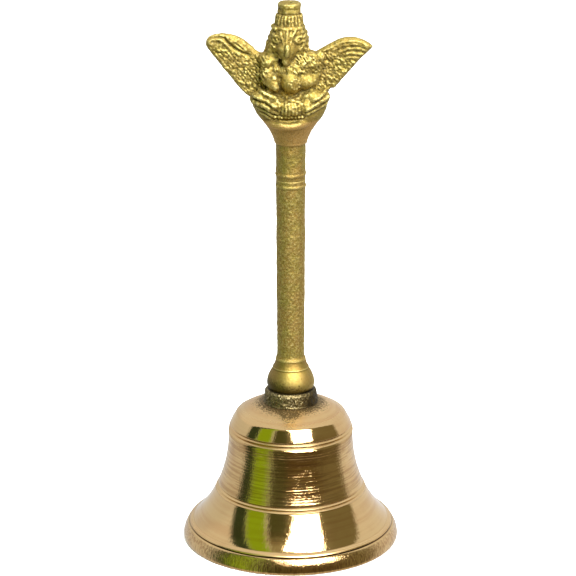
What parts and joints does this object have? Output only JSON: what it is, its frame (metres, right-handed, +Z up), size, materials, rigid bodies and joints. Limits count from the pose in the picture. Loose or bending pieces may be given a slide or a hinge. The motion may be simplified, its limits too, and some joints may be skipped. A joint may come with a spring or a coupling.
{
  "type": "brass puja hand bell",
  "caption": "Turned brass hand bell with a long cast grip, a seated winged bird-headed finial and a free-swinging clapper.",
  "frame": {"origin": "centre of the lip's bottom plane, on the bell's axis", "axes": "+Z up the handle to the crown of the figure, -Y the way the figure faces, +X to the figure's left"},
  "size_m": [0.066, 0.066, 0.1684],
  "materials": {
    "turned_brass": "lathe-polished, fine concentric turning marks",
    "cast_brass": "sand-cast, brushed on the high points, dark in the recesses",
    "sooty_brass": "rough as cast, blackened by soot and flux",
    "ball_brass": "dull cast",
    "iron_wire": "dark drawn wire, lightly rusted",
    "zinc_steel": "dull zinc plate"
  },
  "bodies": {
    "bell": {"bell_cup": "turned_brass", "neck_collar": "sooty_brass", "handle_grip": "cast_brass", "finial_figure": "cast_brass", "eye_bolt": "iron_wire", "crown_washer": "zinc_steel", "crown_nut": "zinc_steel"},
    "link": {"wire_link": "iron_wire"},
    "clapper": {"clapper_rod": "iron_wire", "clapper_ball": "ball_brass"}
  },
  "joints": [
    {"name": "link_swing", "type": "hinge", "parent": "bell", "child": "link", "pos_m": [0, 0, 0.0311], "axis": [1, 0, 0], "range_deg": [-17, 17]},
    {"name": "clapper_swing", "type": "hinge", "parent": "link", "child": "clapper", "pos_m": [0, 0, 0.02585], "axis": [0, 1, 0], "range_deg": [-48, 48]}
  ]
}
